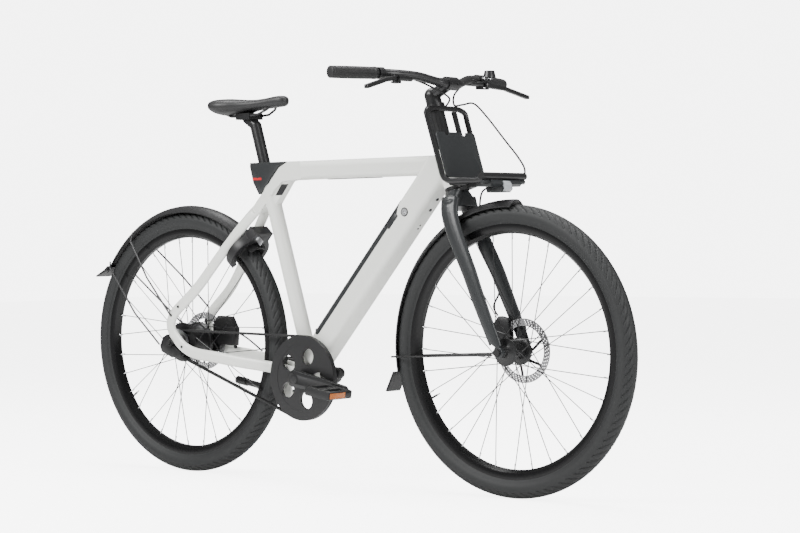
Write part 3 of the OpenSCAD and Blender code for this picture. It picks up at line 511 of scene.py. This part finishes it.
# ---------- handlebar, grips, hoses ----------
BAR = [
    (935, 0, 1028), (935, 30, 1028), (926, 60, 1034), (912, 100, 1043), (893, 150, 1047), (873, 200, 1048),
    (838, 342, 1046),
]
half = spline(BAR, 8)
bar = [Vector((p.x, -p.y, p.z)) for p in reversed(half)] + half[1:]
thickness = [11.1 + 1.9 * max(0.0, min(1.0, (46 - abs(p.y)) / 14)) for p in bar]
tube("handlebar_tube", bar, thickness, "black_metal", "steering", sides=28, stands_for=["handlebar"])


def bar_point(side, t):
    """Point at distance t in from the bar's end, on its straight stretch."""
    end, inner = Vector(BAR[6]), Vector(BAR[5])
    p = end + (inner - end).normalized() * t
    return Vector((p.x, side * p.y, p.z))


SIDES = ((-1, "right"), (1, "left"))
GRIP_LENGTH, GRIP_R, RIB_R = 122, 14.6, 15.3
for side, label in SIDES:
    steps = [(0.0, 8), (0.4, 13.8), (1.6, 15.2)]  # distance in from the end, radius
    t = 3.0
    while t < GRIP_LENGTH:
        bulge = 0.5 * math.sin(math.pi * t / GRIP_LENGTH)
        low, high = GRIP_R + bulge, RIB_R + bulge
        steps += [(t, low), (t + 0.5, high), (t + 2.3, high), (t + 2.8, low)]
        t += 3.6
    steps += [(t, 15.4), (129, 15.4)]
    path = [bar_point(side, s - 2) for s, _ in steps]
    tube(f"grip_{label}", path, [r for _, r in steps], "rubber", "steering", sides=32,
         stands_for=["grips"] if side < 0 else (), split=60)
    collar = [(126.5, 15.0), (127, 15.8), (133, 15.8), (133.5, 15.0)]
    tube(f"grip_collar_{label}", [bar_point(side, s) for s, _ in collar], [r for _, r in collar],
         "black_metal", "steering", sides=32)

HOSE = [
    (892, 108, 1040), (912, 70, 1024), (918, 36, 1000), (916, 40, 976), (926, 62, 978), (946, 82, 980),
    (980, 90, 946), (1034, 92, 886), (1078, 92, 838), (1096, 92, 806), (1086, 84, 776), (1040, 66, 768),
    (1000, 58, 764), (984, 56, 744), (988, 48, 690), (1002, 52, 630), (1028, 56, 560), (1040, 55, 508),
    (1022, 55, 470), (1034, 55, 446),
]
tube("front_hose_tube", spline(HOSE, 8), 2.5, "rubber", "steering", sides=12, stands_for=["front_hose"])
BAR_HOSE = [
    (892, -108, 1040), (912, -66, 1024), (924, -22, 1006), (924, 8, 994), (914, 20, 984), (903, 20, 972),
    (899, 15, 956),
]
tube("bar_hose_tube", spline(BAR_HOSE, 8), 2.5, "rubber", "steering", sides=12)
REAR_HOSE = [(204, 74, 336), (192, 70, 346), (172, 64, 362), (150, 60, 376), (122, 57, 388)]
tube("rear_hose_tube", spline(REAR_HOSE, 8), 2.5, "rubber", "frame", sides=12, stands_for=["rear_hose"])
MOTOR_CABLE = [(-30, 86, 350), (-10, 92, 325), (40, 90, 310), (90, 84, 318), (130, 82, 326)]
tube("motor_cable", spline(MOTOR_CABLE, 8), 3.0, "rubber", "frame", sides=12)

# ---------- pedals' reflectors ----------
DROP = math.radians(9)  # the right crank's slope below level
for side, label in SIDES:
    px, pz = BB[0] - side * CRANK_LENGTH * math.cos(DROP), BB[1] + side * CRANK_LENGTH * math.sin(DROP)
    for end in (-1, 1):
        verts = []
        for x, half_z in ((40.4, 7.6), (41.6, 7.0)):
            for y, z in ((-29, -half_z), (29, -half_z), (29, half_z), (-29, half_z)):
                u = end * x
                along = px + u * math.cos(DROP) + z * math.sin(DROP)
                above = pz - u * math.sin(DROP) + z * math.cos(DROP)
                verts.append(row(along, side * PEDAL_Y + y, above))
        faces = [(0, 1, 2, 3), (7, 6, 5, 4)] + [(j, (j + 1) % 4, 4 + (j + 1) % 4, 4 + j) for j in range(4)]
        name = f"pedal_reflector_{label}_{'front' if end > 0 else 'rear'}"
        outward(piece(name, verts, faces, AMBER, f"pedal_{label}", smooth=False))

# ---------- small trim ----------
plate("port_cover", [(343, 761), (367, 761), (391, 790), (366, 790)], -14.3, -12.2, "black_plastic", "frame")
strip = [(525, 798.6), (705, 798.6), (703, 800.6), (527, 800.6)]
plate("top_tube_trim", strip, -7, 7, "black_plastic", "frame", 0.0003)


def screw(name, at, axis, r, height, body, mat="black_metal"):
    """Round screw head with a dark hex disc on top, painted shade in place of the socket's recess."""
    at, axis = Vector(at), Vector(axis).normalized()
    tube(name, [at, at + axis * height * 0.7, at + axis * height], [r, r, r * 0.8], mat, body, sides=20)
    # Raised dark hex disc on the head: painted shade standing in for the socket's recess
    painted_socket_shade = [at + axis * (height - 0.4), at + axis * (height + 0.15)]
    tube(name + "_socket", painted_socket_shade, [r * 0.45, r * 0.45], "rubber", body, sides=6)


DOWN_SLOPE = math.radians(48.6)
DOWN_X, DOWN_Z = 477, 330  # lower end of the down tube's middle line
OUT_BELOW = Vector((math.sin(DOWN_SLOPE), 0, -math.cos(DOWN_SLOPE)))


def on_down(s, n, y=0.0):
    """Point s up the down tube and n out of its upper side."""
    x = DOWN_X + s * math.cos(DOWN_SLOPE) - n * math.sin(DOWN_SLOPE)
    return Vector((x, y, DOWN_Z + s * math.sin(DOWN_SLOPE) + n * math.cos(DOWN_SLOPE)))


# Down tube's half width, half height and corner, then distances up it of the battery's bay and its latch
TUBE_SIDE, TUBE_TOP, TUBE_CORNER = 33.0, 39.0, 20.0
BAY_FROM, BAY_TO = 62.0, 497.0
LATCH_FROM, LATCH_TO, LATCH_TOP = 435.0, 481.0, 28.6
SKIRT_LOW, SKIRT_TIP = 17.5, 14.0


def skirt_low(s, side):
    """Lower edge of the battery cover's skirt: round below, pointed above, and stopped over the latch."""
    if side < 0 and LATCH_FROM < s < LATCH_TO:
        return LATCH_TOP
    start, tip = s - BAY_FROM, BAY_TO + SKIRT_TIP - s
    low = SKIRT_LOW
    if start < 9:
        low += 11 * (1 - math.sqrt(1 - (1 - start / 9) ** 2))
    if tip < 30:
        low += 18 * (1 - tip / 30)
    return low


def battery_skirt(side, label):
    """Side of the battery's cover that laps over the down tube's rounded upper corner."""
    stations = [BAY_FROM + k for k in (0.3, 1, 2.5, 5, 9)] + [BAY_FROM + 9 + 5 * k for k in range(1, 73)]
    stations += [LATCH_FROM - 0.1, LATCH_FROM + 0.1, LATCH_TO - 0.1, LATCH_TO + 0.1]
    stations += [BAY_TO, BAY_TO + 5, BAY_TO + 10, BAY_TO + 13.5]
    stations = sorted(x for x in stations if x < BAY_TO + SKIRT_TIP)
    cols, verts = 14, []
    corner_n = TUBE_TOP - TUBE_CORNER
    for s in stations:
        low = skirt_low(s, side)
        section = []
        for j in range(cols):
            n = low + (TUBE_TOP - 0.6 - low) * j / (cols - 1)
            lean = math.asin(min(1.0, max(0.0, (n - corner_n) / TUBE_CORNER)))
            section.append((n, lean))
        for proud, points in ((0.75, section), (-0.6, section[::-1])):  # outer side, then inner side back
            for n, lean in points:
                y = TUBE_SIDE - TUBE_CORNER + (TUBE_CORNER + proud) * math.cos(lean)
                verts.append(row(*on_down(s, n + proud * math.sin(lean), side * y)))
    faces = capped_faces(len(stations), 2 * cols)
    obj = piece(f"battery_skirt_{label}", verts, faces, "graphite_paint", "battery")
    outward(obj)
    split_edges(obj, 40)


for side, label in SIDES:
    battery_skirt(side, label)
for k, s in enumerate((544, 579)):
    screw(f"boss_bolt_{k}", on_down(s, -38.5), OUT_BELOW, 4.4, 2.6, "frame")
for k, s in enumerate((482, 493)):
    screw(f"port_screw_{k}", on_down(s, -38.7), OUT_BELOW, 2.6, 1.2, "frame")
screw("crank_bolt_right", (BB[0], -84, BB[1]), (0, -1, 0), 12.8, 1.6, "crank")
for y in (-12, 12):
    screw(f"stem_bolt_{y + 12}", (951.2, y, 1026), (0.98, 0, -0.1), 3.2, 2.4, "steering")
screw("crank_bolt_left", (BB[0], 84, BB[1]), (0, 1, 0), 12.8, 1.6, "crank")
screw("headlamp_bolt", (1097, -86, 792), (0, -1, 0), 4.0, 1.6, "steering")

plate("lamp_lens", [(1108, 754), (1113, 760), (1113, 772), (1108, 780)], -15, 15, LENS, "steering", 0.0002)
LOCK_S = 503
lock = on_down(LOCK_S, 2)
bezel = [(9.4, -33.8), (11.4, -33.8), (11.4, -32.6), (9.4, -32.6)]
ringed("lock_bezel", (lock.x, lock.z), bezel, "black_metal", "frame", steps=48, closed=True)

# ---------- stage, light, camera ----------
FLOOR = 14  # half width, metres
FLOOR_GLOW, SKY_SEEN, SKY_LIGHT = 5.2, 6.0, 0.30  # what the camera sees, and what lights the bicycle
floor_mesh = bpy.data.meshes.new("floor")
corners = [(-FLOOR, -FLOOR, 0), (FLOOR, -FLOOR, 0), (FLOOR, FLOOR, 0), (-FLOOR, FLOOR, 0)]
floor_mesh.from_pydata(corners, [], [(0, 1, 2, 3)])
floor = placed("floor", floor_mesh)
dress(floor, material("floor_paper", (0.93, 0.93, 0.93), 0.75, scale=40))
floor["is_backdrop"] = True

floor_tree = floor.data.materials[0].node_tree
glow = floor_tree.nodes.new("ShaderNodeEmission")
seen = floor_tree.nodes.new("ShaderNodeLightPath")
lift = floor_tree.nodes.new("ShaderNodeMath")
lift.operation = "MULTIPLY"
lift.inputs[1].default_value = FLOOR_GLOW
floor_tree.links.new(seen.outputs["Is Camera Ray"], lift.inputs[0])
floor_tree.links.new(lift.outputs[0], glow.inputs["Strength"])
both = floor_tree.nodes.new("ShaderNodeAddShader")
floor_tree.links.new(floor_tree.nodes["Principled BSDF"].outputs[0], both.inputs[0])
floor_tree.links.new(glow.outputs[0], both.inputs[1])
floor_tree.links.new(both.outputs[0], floor_tree.nodes["Material Output"].inputs["Surface"])

world = bpy.data.worlds.new("studio")
world.use_nodes = True
sky = world.node_tree
backdrop = sky.nodes["Background"]
backdrop.inputs["Color"].default_value = (1.0, 1.0, 1.0, 1.0)
path = sky.nodes.new("ShaderNodeLightPath")
strength = sky.nodes.new("ShaderNodeMapRange")
strength.inputs["To Min"].default_value = SKY_LIGHT
strength.inputs["To Max"].default_value = SKY_SEEN
sky.links.new(path.outputs["Is Camera Ray"], strength.inputs["Value"])
sky.links.new(strength.outputs["Result"], backdrop.inputs["Strength"])
bpy.context.scene.world = world


def area(name, at, target, size, power):
    """Rectangular soft light at a place, turned to a target."""
    light = bpy.data.lights.new(name, "AREA")
    light.shape = "RECTANGLE"
    light.size, light.size_y = size
    light.energy = power
    obj = placed(name, light)
    obj.location = at
    obj.rotation_euler = (Vector(target) - Vector(at)).to_track_quat("-Z", "Y").to_euler()


area("key", (-1.2, -3.4, 3.0), (0, 0, 0.5), (2.6, 1.6), 260)
area("front_fill", (4.2, -0.6, 2.0), (0.2, 0, 0.5), (1.6, 1.8), 130)
area("top", (0.0, 0.3, 3.8), (0, 0, 0.4), (4.0, 1.4), 200)

AZIMUTH, ELEVATION, ROLL = math.radians(39.92), math.radians(0.82), math.radians(-0.71)
AIM, DISTANCE, FOCAL = Vector((0.2027, 0, 0.5699)), 5.48227, 96.42  # metres, metres, millimetres
level = math.cos(ELEVATION)
back = Vector((math.sin(AZIMUTH) * level, -math.cos(AZIMUTH) * level, math.sin(ELEVATION)))
right = Vector((math.cos(AZIMUTH), math.sin(AZIMUTH), 0))
up = back.cross(right)
right, up = right * math.cos(ROLL) + up * math.sin(ROLL), up * math.cos(ROLL) - right * math.sin(ROLL)
camera_data = bpy.data.cameras.new("camera")
camera_data.lens = FOCAL
camera_data.clip_end = 50
camera = placed("camera", camera_data)
place = Matrix((right, up, back)).transposed().to_4x4()
place.translation = AIM + back * DISTANCE
camera.matrix_world = place
bpy.context.scene.camera = camera

low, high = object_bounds()
